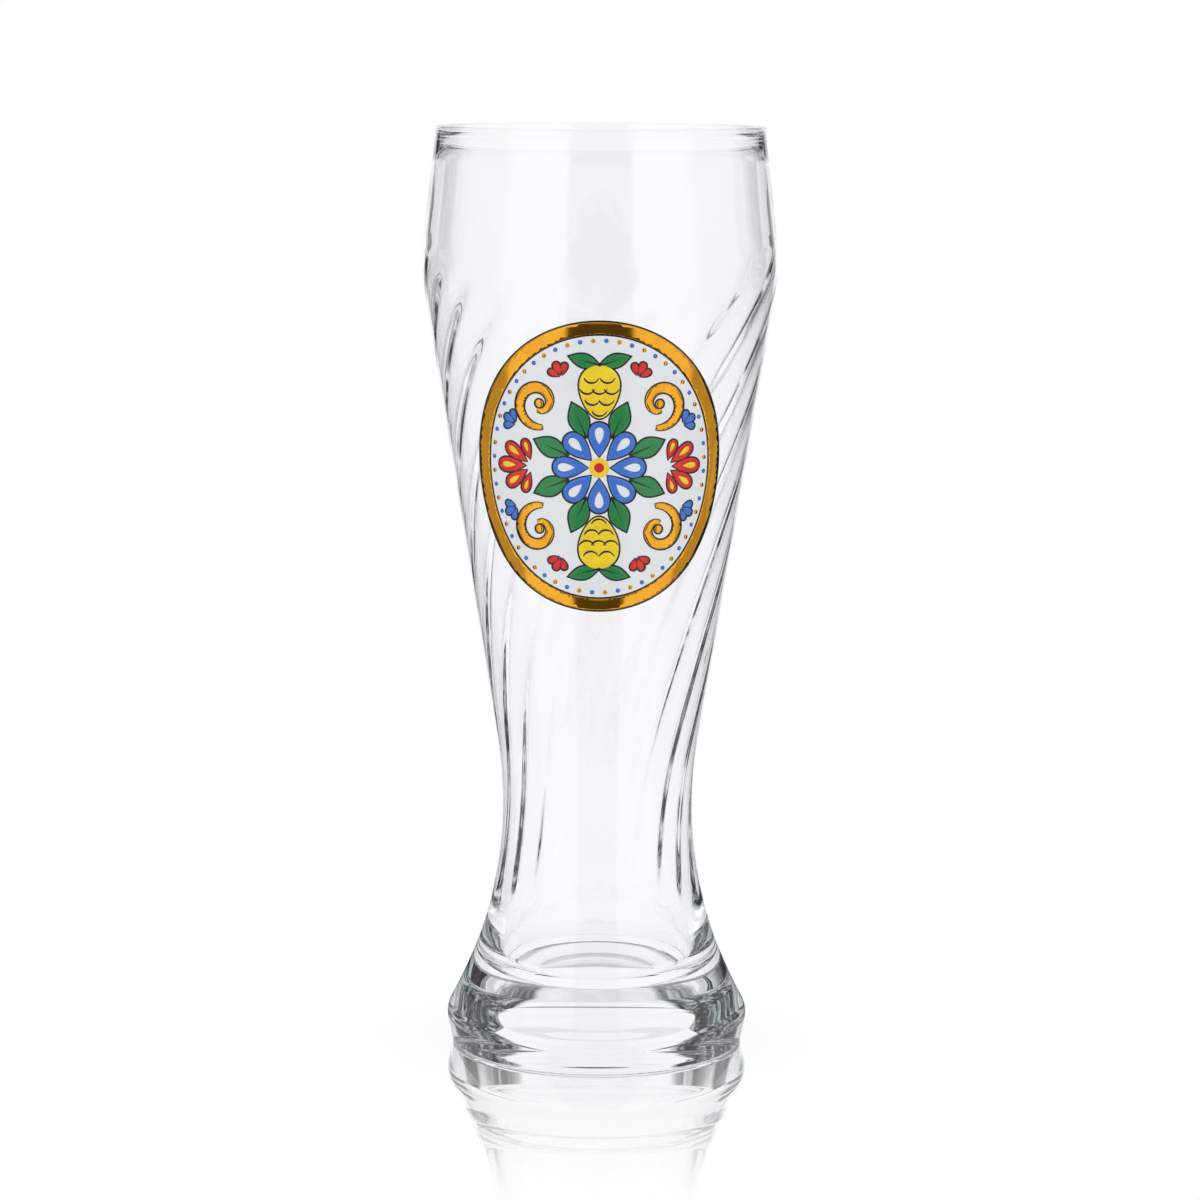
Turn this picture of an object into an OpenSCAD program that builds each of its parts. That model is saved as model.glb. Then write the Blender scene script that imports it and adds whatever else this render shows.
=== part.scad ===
// Half-litre wheat beer glass: one piece of clear glass with a heavy foot, a tall
// waisted body and swirled flutes pressed into its inner wall, and on its front an
// oval picture of fired-on ceramic colours and gold. Millimetres, Z up, the table at
// Z = 0, the glass's axis on Z and the picture facing -Y.

/* [Outside] */
// Height from the table to the top of the lip
glass_h = 230; // [222:1:240]
// Diameter of the wall just under the lip
mouth_d = 81.1; // [79:0.1:84]
// Belly diameter, at the corner before it is rounded
belly_d = 88.7; // [86:0.1:92]
// Height of the belly's corner
belly_z = 195.9; // [190:0.1:200]
// Radius that rounds the belly
belly_round = 54; // [35:1:70]
// Waist diameter, at the corner before it is rounded
waist_d = 39.2; // [36:0.1:42]
// Height of the waist's corner
waist_z = 43; // [40:0.5:46]
// Radius that rounds the waist
waist_round = 106; // [80:1:110]
// Foot diameter, at the corner before it is rounded
foot_d = 76.2; // [74:0.2:80]
// Height of the foot's corner
foot_z = 8.1; // [7:0.1:9]
// Radius that rounds the foot
foot_round = 6.4; // [4:0.1:7]
// Diameter of the foot where it meets the table
base_d = 72.8; // [70:0.2:74]
// Radius that rounds the foot's lower edge
base_round = 1; // [0.5:0.1:1]

/* [Underside] */
// Diameter of the hollow pressed into the middle of the underside
punt_d = 34; // [28:1:60]
// Depth of that hollow
punt_depth = 1.5; // [0.8:0.1:3]
// How flat the hollow is in the middle: 2 makes it a round dome, more makes it flatter
punt_flat = 3; // [2:0.5:6]

/* [Inside] */
// Height of the floor inside the glass
floor_z = 16.2; // [14:0.1:20]
// Diameter of the floor's corner, before it is rounded
floor_d = 51; // [49:0.5:52]
// Radius that rounds the floor's corner
floor_round = 7; // [6:0.5:11]
// Inside diameter of the waist's corner, before it is rounded
inner_waist_d = 40; // [38:0.1:40.4]
// Height of that corner
inner_waist_z = 61.8; // [58:0.1:64]
// Radius that rounds the waist on the inside
inner_waist_round = 130; // [80:5:180]
// Wall at the belly's corner
belly_wall = 2; // [1.9:0.1:2.4]
// Wall just under the lip
mouth_wall = 1.3; // [1.1:0.1:1.6]
// Thickness of the lip's round bead
lip_t = 1.6; // [1.5:0.1:2]

/* [Flutes] */
// Number of flutes round the inner wall
flutes = 20; // [12:1:22]
// Depth of a flute
flute_depth = 0.65; // [0.3:0.05:1]
// Height where the flutes run out above the floor
flute_low_z = 33; // [26:1:40]
// Height over which a flute fades to its low end
flute_low_length = 20; // [10:1:60]
// Height of the flutes' tips
flute_tip_z = 202; // [190:1:208]
// Height over which a flute fades to its tip
flute_tip_length = 22; // [10:1:40]
// Turn of a flute from its low end to its tip, in degrees
flute_twist = 115; // [0:1:120]
// Share of that turn that is even along the height, the rest grows upwards
flute_even = 0.2; // [0:0.05:1]
// Turn of the first flute's low end from the glass's side, in degrees
flute_start = 7; // [0:1:18]

/* [Picture] */
// Height of the picture's centre
picture_z = 149.7; // [145:0.1:152]
// Width of the picture, measured round the glass
picture_w = 66.6; // [66:0.2:68]
// Height of the picture, measured up the wall
picture_h = 72.2; // [71:0.2:73]
// Width of the gold border at the sides
border_w = 3.6; // [3:0.1:4]
// Width of the gold border at the top and bottom
border_h = 2.9; // [2.5:0.1:3.4]
// Width of the black lines
line_w = 0.4; // [0.3:0.05:0.5]
// Thickness of the white ground
ground_t = 0.08; // [0.05:0.01:0.1]
// Thickness of a colour on the white ground
colour_t = 0.06; // [0.04:0.01:0.1]

/* [Hidden] */

// How far a straight step may lie off the arc that it replaces, outside and inside
outer_tolerance = 0.03;
inner_tolerance = 0.09;
// Rings of facets in the hollow under the foot
punt_rings = 6;
// Largest turn of one step, in degrees
step_turn = 12;
// Flats across one flute, and the longest step along the inside
flute_flats = 6;
inner_step = 10;
// Flats round the picture's ovals
border_steps = 72;
// Height of the colours' faces above the glass
top = ground_t + colour_t;

// Outline tools
function unit(v) = v / norm(v);
function toward(angle) = [cos(angle), sin(angle)];
function steps_for(turn, radius, tolerance) =
    ceil(abs(turn) / min(step_turn, 2 * acos(1 - tolerance / radius)));

// Arc of the given radius that rounds the corner b between a and c
function fillet(a, b, c, radius, tolerance) =
    let (
        u = unit(a - b),
        v = unit(c - b),
        half = acos(u * v) / 2,
        centre = b + unit(u + v) * radius / sin(half),
        first = b + u * radius / tan(half) - centre,
        last = b + v * radius / tan(half) - centre,
        start = atan2(first.y, first.x),
        turn = (atan2(last.y, last.x) - start + 540) % 360 - 180,
        steps = steps_for(turn, radius, tolerance)
    )
    [for (i = [0:steps]) centre + radius * toward(start + turn * i / steps)];

// A line through corners, rounded at each inner corner
function rounded(corners, radii, tolerance) =
    [
        corners[0],
        for (i = [1:len(corners) - 2])
            each fillet(corners[i - 1], corners[i], corners[i + 1], radii[i - 1], tolerance),
        corners[len(corners) - 1]
    ];

// The same line without its first point
function tail(line) = [for (i = [1:len(line) - 1]) line[i]];

// The same line with more points where they are further apart than step
function spaced(line, step) =
    [
        for (i = [0:len(line) - 2])
            let (parts = ceil(norm(line[i + 1] - line[i]) / step))
            for (j = [0:parts - 1]) line[i] + (line[i + 1] - line[i]) * j / parts,
        line[len(line) - 1]
    ];

// Shallow hollow under the foot from the axis to its rim, as [radius, height]
hollow = [
    for (i = [0:punt_rings])
        let (out = sin(90 * i / punt_rings))
        [punt_d / 2 * out, punt_depth * (1 - pow(out, punt_flat))]
];

lip_z = glass_h - lip_t / 2;
lip_r = (mouth_d - mouth_wall) / 2;

// Outside of the glass from the foot up to the lip's centre, as [radius, height]
outside = rounded(
    [
        [punt_d / 2, 0],
        [base_d / 2, 0],
        [foot_d / 2, foot_z],
        [waist_d / 2, waist_z],
        [belly_d / 2, belly_z],
        [mouth_d / 2, lip_z]
    ],
    [base_round, foot_round, waist_round, belly_round],
    outer_tolerance
);

// Inside of the glass from the floor's edge to above the lip, as [radius, height]
inside = spaced(
    tail(
        rounded(
            [
                [0, floor_z],
                [floor_d / 2, floor_z],
                [inner_waist_d / 2, inner_waist_z],
                [belly_d / 2 - belly_wall, belly_z],
                [mouth_d / 2 - mouth_wall, glass_h]
            ],
            [floor_round, inner_waist_round, belly_round],
            inner_tolerance
        )
    ),
    inner_step
);

// How far a flute is open at height z: 1 along its length, fading to 0 at its ends
function flute_open(z) =
    let (
        to_tip = (flute_tip_z - z) / flute_tip_length,
        to_low = (z - flute_low_z) / flute_low_length,
        open = max(0, min(1, to_tip, to_low))
    )
    open * open * (3 - 2 * open);

// Depth of a flute at height z, where turn runs from 0 to 360 between its two ridges
function flute(turn, z) = flute_depth * flute_open(z) * (1 - cos(turn)) / 2;

// Turn of the flutes at height z
function swirl(z) =
    let (climb = max(0, min(1, (z - flute_low_z) / (flute_tip_z - flute_low_z))))
    flute_start + flute_twist * climb * (flute_even + (1 - flute_even) * climb);

// The space inside the glass, as a ring of points at each height
module cavity() {
    around = flutes * flute_flats;
    rings = len(inside);
    points = [
        for (p = inside)
            for (k = [0:around - 1])
                let (
                    depth = flute(360 * k / flute_flats, p.y),
                    direction = toward(360 * k / around + swirl(p.y))
                )
                concat((p.x + depth) * direction, p.y)
    ];
    faces = [
        [for (k = [0:around - 1]) k],
        [for (k = [around - 1:-1:0]) (rings - 1) * around + k],
        for (i = [0:rings - 2])
            for (k = [0:around - 1])
                let (
                    a = i * around + k,
                    b = i * around + (k + 1) % around
                )
                each [[a, a + around, b + around], [a, b + around, b]]
    ];
    polyhedron(points = points, faces = faces);
}

// One piece of clear glass: the cavity cut out of the body, and the lip's round bead
module glass() {
    color([0.86, 0.92, 0.93, 0.35]) {
        difference() {
            rotate_extrude($fn = 160)
                polygon(concat(hollow, tail(outside), [[0, lip_z]]));
            cavity();
        }
        rotate_extrude($fn = 160)
            translate([lip_r, lip_z])
                circle(d = lip_t, $fn = 32);
    }
}

// Straight stretch of the wall that carries the picture
taper = (belly_d - waist_d) / 2 / (belly_z - waist_z);
slant = atan(taper);
function wall_r(z) = waist_d / 2 + taper * (z - waist_z);

// Solid cone that stands a little way off that stretch, from z_low to z_high
module wall_cone(z_low, z_high, off) {
    translate([0, 0, z_low])
        cylinder(
            h = z_high - z_low,
            r1 = wall_r(z_low) + off / cos(slant),
            r2 = wall_r(z_high) + off / cos(slant),
            $fn = 160
        );
}

// Coat of colour between two heights above the glass, where the flat children lie
module coat(low, high) {
    reach = picture_h / 2 + 1;
    intersection() {
        rotate([90, 0, 0])
            linear_extrude(height = belly_d)
                children();
        difference() {
            wall_cone(picture_z - reach, picture_z + reach, high);
            wall_cone(picture_z - reach - 1, picture_z + reach + 1, low);
        }
    }
}

// Moves a point of the flat picture, in millimetres from its centre, to where it is
// seen from straight ahead once it is wrapped round the glass
function on_glass(p) =
    let (
        z = picture_z + p.y * cos(slant),
        r = wall_r(z)
    )
    [r * sin(p.x / r * 180 / PI), z];

// Flat shapes wrapped on to the glass, each a list of points
module shapes(outlines)
    for (points = outlines)
        polygon([for (p = points) on_glass(p)]);

// Points of a flat shape, turned by angle, moved to place and mirrored by sides
function placed(points, place, angle = 0, sides = [1, 1]) =
    [
        for (p = points)
            let (q = place + p.x * toward(angle) + p.y * toward(angle + 90))
            [q.x * sides.x, q.y * sides.y]
    ];

// Flat shapes: an oval, and petals and leaves that stand on the origin and point up
function oval(w, h, steps = 14) =
    [for (i = [0:steps - 1]) [w / 2 * cos(360 * i / steps), h / 2 * sin(360 * i / steps)]];

function disc(d, steps = 14) = oval(d, d, steps);

// A petal with a pointed foot and a round tip
function petal(length, width, steps = 14) =
    [
        for (i = [0:steps - 1])
            let (t = 360 * i / steps)
            [0.65 * width * sin(t) * sin(t / 2), length * (1 - cos(t)) / 2]
    ];

// A hop cone, round at its foot and narrower at its tip
function egg(length, width, steps = 16) =
    [
        for (i = [0:steps - 1])
            let (t = 360 * i / steps)
            [width / 2 * sin(t) * (1 + 0.25 * cos(t)), length * (1 - cos(t)) / 2]
    ];

// A leaf, pointed at both ends
function leaf(length, width, steps = 6) =
    [
        for (i = [0:2 * steps - 1])
            let (up = 1 - abs(i / steps - 1))
            [(i < steps ? 1 : -1) * width / 2 * sin(180 * up), length * up]
    ];

// A stroke along an arc, thickest in its middle, whose radius shrinks by a given part
function stroke(radius, start, sweep, thick, shrink = 0, steps = 8) =
    let (
        path = [for (i = [0:steps]) radius * (1 - shrink * i / steps) * toward(start + sweep * i / steps)],
        half = [for (i = [0:steps]) thick * (0.2 + 0.3 * sin(180 * pow(i / steps, 0.7)))]
    )
    concat(
        [for (i = [0:steps]) path[i] + half[i] * unit(path[i])],
        [for (i = [steps:-1:0]) path[i] - half[i] * unit(path[i])]
    );

// The picture's motifs. Each is a list of flat shapes, and grow makes them larger by the
// width of the black line round them.
inner_w = picture_w - 2 * border_w - 2 * line_w;
inner_h = picture_h - 2 * border_h - 2 * line_w;
up_down = [[1, 1], [1, -1]];
left_right = [[1, 1], [-1, 1]];
quarters = [[1, 1], [-1, 1], [-1, -1], [1, -1]];

// Petals on a circle round a place, one per angle, pointing outward. part says where along
// the petal its shape starts, and its share of the petal's length and width.
whole = [0, 1, 1];
heart = [0.36, 0.5, 0.42];
function spray(place, radius, angles, lengths, width, grow, part, sides = [1, 1]) =
    [
        for (i = [0:len(angles) - 1])
            let (
                length = lengths[i] * part[1] + 2 * grow,
                across = width * lengths[i] / max(lengths) * part[2] + 2 * grow,
                foot = radius + lengths[i] * part[0] - grow
            )
            placed(petal(length, across), place + foot * toward(angles[i]), angles[i] - 90, sides)
    ];

// Eight petals round an eye, in the middle
rosette_r = 2.8;
rosette_angles = [for (a = [0:45:315]) a];
rosette_lengths = [for (a = rosette_angles) 8.4];
rosette_w = 5;
function rosette(grow, part) =
    spray([0, 0], rosette_r, rosette_angles, rosette_lengths, rosette_w, grow, part);
eye_d = 4.8;
pupil_d = 2.4;

// A fan of five petals on the left and on the right
fan_place = [16.4, 0];
fan_r = 1.9;
fan_angles = [-70, -35, 0, 35, 70];
fan_lengths = [5, 7, 7.8, 7, 5];
fan_w = 3.6;
function fans(grow, part) =
    [
        for (sides = left_right)
            each spray(fan_place, fan_r, fan_angles, fan_lengths, fan_w, grow, part, sides)
    ];

// A small sprig beside each cone, and one beside each end of the fans
sprig_r = 0.9;
sprig_turns = [-37, 0, 37];
sprig_lengths = [2.8, 3.2, 2.8];
sprig_w = 1.7;
function sprigs(place, angle, grow) =
    [
        for (sides = quarters)
            let (angles = [for (t = sprig_turns) angle + t])
            each spray(place, sprig_r, angles, sprig_lengths, sprig_w, grow, whole, sides)
    ];
function cone_sprigs(grow) = sprigs([9, 22], 65, grow);
function fan_sprigs(grow) = sprigs([20.6, 10.2], 30, grow);

// Eight leaves between the petals, and two at the foot of each cone
leaf_r = 8.2;
leaf_length = 9;
leaf_w = 4.6;
bract_length = 7.6;
bract_w = 3.2;
bract_angle = 74;
cone_foot = 25.2;
function leaves(grow) =
    [
        for (a = [22.5:45:337.5])
            placed(leaf(leaf_length + 3 * grow, leaf_w + 2 * grow),
                (leaf_r - 1.5 * grow) * toward(a), a - 90),
        for (sides = quarters)
            placed(leaf(bract_length + 3 * grow, bract_w + 2 * grow),
                [0, cone_foot] - 1.5 * grow * toward(90 - bract_angle), -bract_angle, sides)
    ];

// The rib along each leaf, a wedge that starts a little before the leaf's foot
rib_w = 0.5;
rib_share = 0.75;
rib_start = -0.3;
function rib(length) = [[rib_w / 2, 0], [0, length], [-rib_w / 2, 0]];
function ribs() =
    [
        for (a = [22.5:45:337.5])
            placed(rib(leaf_length * rib_share), (leaf_r + rib_start) * toward(a), a - 90),
        for (sides = quarters)
            placed(rib(bract_length * rib_share),
                [0, cone_foot] + rib_start * toward(90 - bract_angle), -bract_angle, sides)
    ];

// A hop cone above and below, with its tip to the middle
cone_length = 13;
cone_w = 9.4;
function cones(grow) =
    [
        for (sides = up_down)
            placed(egg(cone_length + 2 * grow, cone_w + 2 * grow), [0, cone_foot + grow], 180, sides)
    ];

// Edges of a cone's scales, row by row from its foot
scale_rows = [[-1.9, 1.9], [-2.9, 0, 2.9], [-1.7, 1.7], [0]];
scale_d = 3.8;
scale_pitch = 2.7;
function scales() =
    [
        for (sides = up_down)
            for (row = [0:len(scale_rows) - 1])
                for (x = scale_rows[row])
                    placed(stroke(scale_d / 2, 200, 140, line_w * 1.2),
                        [x, cone_foot - scale_pitch * (row + 0.9)], 0, sides)
    ];

// A scroll in each quarter, with a bead where it ends
scroll_place = [14.9, 15.6];
scroll_r = 6;
scroll_w = 2.4;
scroll_bead_d = 1.9;
function scrolls(grow) =
    [
        for (sides = quarters)
            placed(stroke(scroll_r, -100 - 4 * grow, 380 + 8 * grow, scroll_w + 2 * grow, 0.72, 20),
                scroll_place, 0, sides),
        for (sides = quarters)
            placed(disc(scroll_bead_d + 2 * grow), scroll_place - [0.2, 0], 0, sides)
    ];

// Beads along the border, where every second one is of the other colour
beads = 56;
bead_d = 1.1;
bead_inset = 1.6;
function bead_row(first) =
    [
        for (i = [first:2:beads - 1])
            let (a = 360 * (i + 0.5) / beads)
            placed(disc(bead_d, 10),
                [(inner_w / 2 - bead_inset) * cos(a), (inner_h / 2 - bead_inset) * sin(a)])
    ];

function motifs(grow) =
    concat(
        rosette(grow, whole), fans(grow, whole), cone_sprigs(grow), fan_sprigs(grow),
        leaves(grow), cones(grow), scrolls(grow)
    );

module white_ground() {
    color([0.9, 0.93, 0.95])
        coat(0, ground_t)
            shapes([oval(inner_w, inner_h, border_steps)]);
}

module gold_border() {
    color([0.72, 0.45, 0.1])
        coat(0, top)
            difference() {
                shapes([oval(picture_w - 2 * line_w, picture_h - 2 * line_w, border_steps)]);
                shapes([oval(inner_w, inner_h, border_steps)]);
            }
}

module black_lines() {
    color([0.05, 0.05, 0.06]) {
        coat(0, top)
            difference() {
                shapes([oval(picture_w, picture_h, border_steps)]);
                shapes([oval(picture_w - 2 * line_w, picture_h - 2 * line_w, border_steps)]);
            }
        coat(ground_t, top) {
            difference() {
                shapes([oval(inner_w, inner_h, border_steps)]);
                shapes([oval(inner_w - 2 * line_w, inner_h - 2 * line_w, border_steps)]);
            }
            difference() {
                shapes(motifs(line_w));
                shapes(motifs(0));
            }
            shapes(scales());
            shapes(ribs());
        }
    }
}

module gold_scrolls() {
    color([0.85, 0.6, 0.15])
        coat(ground_t, top)
            shapes(concat(scrolls(0), bead_row(0)));
}

module blue_petals() {
    color([0.2, 0.42, 0.85])
        coat(ground_t, top) {
            difference() {
                shapes(rosette(0, whole));
                shapes(rosette(0, heart));
            }
            shapes(concat(fan_sprigs(0), bead_row(1)));
        }
}

module green_leaves() {
    color([0.1, 0.5, 0.2])
        coat(ground_t, top)
            difference() {
                shapes(leaves(0));
                shapes(ribs());
                shapes(cones(0));
            }
}

module yellow_cones() {
    color([0.95, 0.8, 0.1])
        coat(ground_t, top) {
            difference() {
                shapes(cones(0));
                shapes(scales());
                shapes(ribs());
            }
            difference() {
                shapes([disc(eye_d)]);
                shapes([disc(pupil_d)]);
            }
            shapes(fans(0, heart));
        }
}

module red_blossoms() {
    color([0.85, 0.1, 0.08])
        coat(ground_t, top) {
            difference() {
                shapes(fans(0, whole));
                shapes(fans(0, heart));
            }
            shapes(concat(cone_sprigs(0), [disc(pupil_d)]));
        }
}

glass();
white_ground();
gold_border();
black_lines();
gold_scrolls();
blue_petals();
green_leaves();
yellow_cones();
red_blossoms();
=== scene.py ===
"""Tall wheat beer glass with swirled flutes and an oval fired-on picture, in its studio.

Run as a script in Blender 4.5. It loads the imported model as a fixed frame, registers its
operators and calls them in order. All sizes are in metres in the frame's axes: Z up along
the glass, the picture facing -Y, the table at Z = 0.
"""

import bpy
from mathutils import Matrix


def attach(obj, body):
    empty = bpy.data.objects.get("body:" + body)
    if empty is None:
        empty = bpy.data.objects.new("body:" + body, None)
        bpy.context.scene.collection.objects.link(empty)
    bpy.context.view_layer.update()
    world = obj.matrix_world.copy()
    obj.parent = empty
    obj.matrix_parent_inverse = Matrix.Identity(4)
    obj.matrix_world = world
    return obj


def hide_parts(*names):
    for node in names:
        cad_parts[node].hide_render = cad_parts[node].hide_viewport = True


bl_info = {
    "name": "Wheat Beer Glass",
    "version": (1, 0, 0),
    "blender": (4, 5, 0),
    "location": "3D View > Sidebar > Beer Glass",
    "description": "Makes a beer glass with swirled flutes, its fired-on picture and a studio",
    "category": "Object",
}

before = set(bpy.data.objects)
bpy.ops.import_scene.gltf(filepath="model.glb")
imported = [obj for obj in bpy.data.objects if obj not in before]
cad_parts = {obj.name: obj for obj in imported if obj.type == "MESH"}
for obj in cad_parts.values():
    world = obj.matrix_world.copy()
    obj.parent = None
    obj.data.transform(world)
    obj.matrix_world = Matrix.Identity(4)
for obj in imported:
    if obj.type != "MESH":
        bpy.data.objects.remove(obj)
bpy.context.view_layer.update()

import math
from functools import lru_cache

import bpy
from bpy.props import FloatProperty, FloatVectorProperty, IntProperty, PointerProperty
from mathutils import Matrix, Vector, geometry

MM = 0.001


# Settings that a user would change


def number(name, description, default, **limits):
    """A number, with its limits or its unit."""
    return FloatProperty(name=name, description=description, default=default, **limits)


def length(name, description, mm):
    """A length with its default given in millimetres."""
    return number(name, description, mm * MM, unit="LENGTH", precision=5)


def turn(name, description, degrees):
    """An angle with its default given in degrees."""
    return number(name, description, math.radians(degrees), unit="ROTATION")


def share(name, description, default):
    """A number from 0 to 1."""
    return number(name, description, default, min=0, max=1, subtype="FACTOR")


def tint(name, description, *default):
    """A colour."""
    return FloatVectorProperty(
        name=name, description=description, default=default, min=0, max=1, subtype="COLOR"
    )


class OutlineSettings(bpy.types.PropertyGroup):
    """Outline of the glass, outside, inside and underneath"""

    height: length("Height", "From the table to the top of the lip", 230)
    mouth: length("Mouth", "Diameter of the wall just under the lip", 81.1)
    belly: length("Belly", "Diameter at the belly's corner", 88.7)
    belly_z: length("Belly height", "Height of the belly's corner", 195.9)
    belly_round: length("Belly rounding", "Radius that rounds the belly", 54)
    waist: length("Waist", "Diameter at the waist's corner", 39.2)
    waist_z: length("Waist height", "Height of the waist's corner", 43)
    waist_round: length("Waist rounding", "Radius that rounds the waist", 106)
    foot: length("Foot", "Diameter at the foot's corner", 76.2)
    foot_z: length("Foot height", "Height of the foot's corner", 8.1)
    foot_round: length("Foot rounding", "Radius that rounds the foot", 6.4)
    base: length("Base", "Diameter of the foot on the table", 72.8)
    base_round: length("Base rounding", "Radius of the foot's lower edge", 1)
    punt: length("Hollow", "Diameter of the hollow under the foot", 34)
    punt_depth: length("Hollow depth", "Depth of that hollow", 1.5)
    punt_flat: number("Hollow flatness", "2 makes it a round dome, more is flatter", 3, min=1.5, max=12)
    floor_z: length("Floor height", "Height of the floor inside", 16.2)
    floor: length("Floor", "Diameter of the floor's corner", 51)
    floor_round: length("Floor rounding", "Radius that rounds the floor's corner", 7)
    inner_waist: length("Inner waist", "Inside diameter of the waist's corner", 40)
    inner_waist_z: length("Inner waist height", "Height of that corner", 61.8)
    inner_waist_round: length("Inner waist rounding", "Radius that rounds it", 130)
    belly_wall: length("Belly wall", "Thickness of the wall at the belly", 2)
    mouth_wall: length("Mouth wall", "Thickness of the wall under the lip", 1.3)
    lip: length("Lip", "Thickness of the lip's round bead", 1.6)


class FluteSettings(bpy.types.PropertyGroup):
    """Swirled flutes in the inner wall"""

    count: IntProperty(name="Flutes", description="Number of flutes", default=20, min=3)
    flats: IntProperty(name="Flats", description="Flats across one flute", default=14, min=4)
    depth: length("Depth", "Depth of a flute", 0.65)
    low_z: length("Low end", "Height where the flutes run out above the floor", 33)
    tip_z: length("Tips", "Height of the flutes' pointed tips", 202)
    tip_length: length("Tip length", "Height over which a flute fades to its tip", 22)
    low_length: length("Low length", "Height over which a flute fades to its low end", 20)
    twist: turn("Twist", "Turn of a flute from its low end to its tip", 115)
    even: share("Even twist", "Share of the turn that is even, the rest grows upwards", 0.2)
    start: turn("Start", "Turn of the first flute's low end from the side", 7)


class PictureSettings(bpy.types.PropertyGroup):
    """Oval picture of fired colours"""

    centre_z: length("Centre height", "Height of the picture's centre", 149.7)
    width: length("Width", "Width measured round the glass", 66.6)
    height: length("Height", "Height measured up the wall", 72.2)
    border_w: length("Border, sides", "Width of the gold border at the sides", 3.6)
    border_h: length("Border, ends", "Width of the gold border at top and bottom", 2.9)
    line: length("Line", "Width of the black lines", 0.4)
    ground: length("Ground", "Thickness of the white ground", 0.08)
    colour: length("Colour", "Thickness of a colour on the ground", 0.06)
    sunk: length("Sunk", "How far the coats reach into the glass", 0.03)
    beads: IntProperty(name="Beads", description="Beads along the border", default=56, min=2)


class ColourSettings(bpy.types.PropertyGroup):
    """Colours of the glass and of the coats"""

    glass: tint("Glass", "Tint of the clear glass", 0.98, 0.98, 0.995)
    depth: tint("Glass depth", "Tint of a thick stretch of glass", 0.84, 0.9, 0.88)
    # Painted light: the glass gives off the next two as a glow, from darkest to brightest in streaks,
    # once a path has mirrored inside its wall a few times
    caught: tint("Caught light", "Darkest glow of light caught in the wall", 0.035, 0.028, 0.035)
    streaks: tint("Streaks", "Brightest glow of light caught in the wall", 0.62, 0.66, 0.7)
    white: tint("White", "White ground", 0.78, 0.8, 0.83)
    gold: tint("Gold", "Gold lustre", 0.9, 0.41, 0.035)
    black: tint("Black", "Black lines", 0.012, 0.012, 0.014)
    blue: tint("Blue", "Blue petals", 0.05, 0.17, 0.62)
    green: tint("Green", "Green leaves", 0.02, 0.22, 0.06)
    yellow: tint("Yellow", "Yellow cones", 0.86, 0.62, 0.02)
    red: tint("Red", "Red blossoms", 0.66, 0.02, 0.012)


class StudioSettings(bpy.types.PropertyGroup):
    """Camera, lamps and floor"""

    lens: number("Lens", "Focal length on a 36 mm sensor", 112.1, unit="CAMERA")
    camera_distance: length("Camera distance", "From the glass's axis", 924.2)
    camera_height: length("Camera height", "Above the table", 249.4)
    camera_pitch: turn("Camera pitch", "How far the camera looks down", 8.437)
    camera_roll: turn("Camera roll", "How far the camera leans", 0.28)
    camera_yaw: turn("Camera yaw", "How far the camera looks to the right", 0.023)
    daylight: share("Daylight", "Level of the even light all round", 0.8)
    soft_boxes: number("Soft boxes", "Power of each soft box", 1.2, unit="POWER")
    mirror: share("Mirror", "How strongly the floor mirrors the foot", 0.8)


class BeerGlassSettings(bpy.types.PropertyGroup):
    """Everything that a user would change"""

    outline: PointerProperty(type=OutlineSettings)
    flutes: PointerProperty(type=FluteSettings)
    picture: PointerProperty(type=PictureSettings)
    colours: PointerProperty(type=ColourSettings)
    studio: PointerProperty(type=StudioSettings)


# Node trees


class Term:
    """A number in a node tree. Arithmetic on it adds Math nodes."""

    def __init__(self, tree, socket):
        self.tree = tree
        self.socket = socket

    def math(self, operation, *others):
        node = self.tree.nodes.new("ShaderNodeMath")
        node.operation = operation
        for socket, value in zip(node.inputs, (self, *others)):
            plug(self.tree, socket, value)
        return Term(self.tree, node.outputs[0])

    def __add__(self, other):
        return self.math("ADD", other)

    def __sub__(self, other):
        return self.math("SUBTRACT", other)

    def __rsub__(self, other):
        return (self * -1.0) + other

    def __mul__(self, other):
        return self.math("MULTIPLY", other)

    def __truediv__(self, other):
        return self.math("DIVIDE", other)

    __radd__ = __add__
    __rmul__ = __mul__


def plug(tree, socket, value):
    """Links a socket to a term, another socket or a node's first output, or sets its value."""
    if isinstance(value, Term):
        value = value.socket
    if isinstance(value, bpy.types.Node):
        value = value.outputs[0]
    if isinstance(value, bpy.types.NodeSocket):
        tree.links.new(value, socket)
    else:
        socket.default_value = value


def add(tree, kind, inputs=None, **settings):
    """Adds a node, with its inputs given by name or number."""
    node = tree.nodes.new(kind)
    for name, value in settings.items():
        setattr(node, name, value)
    for key, value in (inputs or {}).items():
        plug(tree, node.inputs[key], value)
    return node


def term(tree, node):
    """A node's first output as a number to calculate with."""
    return Term(tree, node.outputs[0])


def combined(tree, x=0.0, y=0.0, z=0.0):
    """A place from its three numbers."""
    return add(tree, "ShaderNodeCombineXYZ", {0: x, 1: y, 2: z})


def split(tree, place):
    """The three numbers of a place."""
    node = add(tree, "ShaderNodeSeparateXYZ", {0: place})
    return [Term(tree, output) for output in node.outputs]


def noise(tree, where, scale, detail=2.0, distortion=0.0):
    """A cloudy noise, as its level and its colour."""
    values = {"Vector": where, "Scale": scale, "Detail": detail, "Distortion": distortion}
    node = add(tree, "ShaderNodeTexNoise", values)
    return term(tree, node), node.outputs["Color"]


def bump(tree, surface, relief, height):
    """Makes a surface look uneven by a height of the given relief."""
    values = {"Strength": 1.0, "Distance": relief, "Height": height}
    plug(tree, surface.inputs["Normal"], add(tree, "ShaderNodeBump", values))


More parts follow.
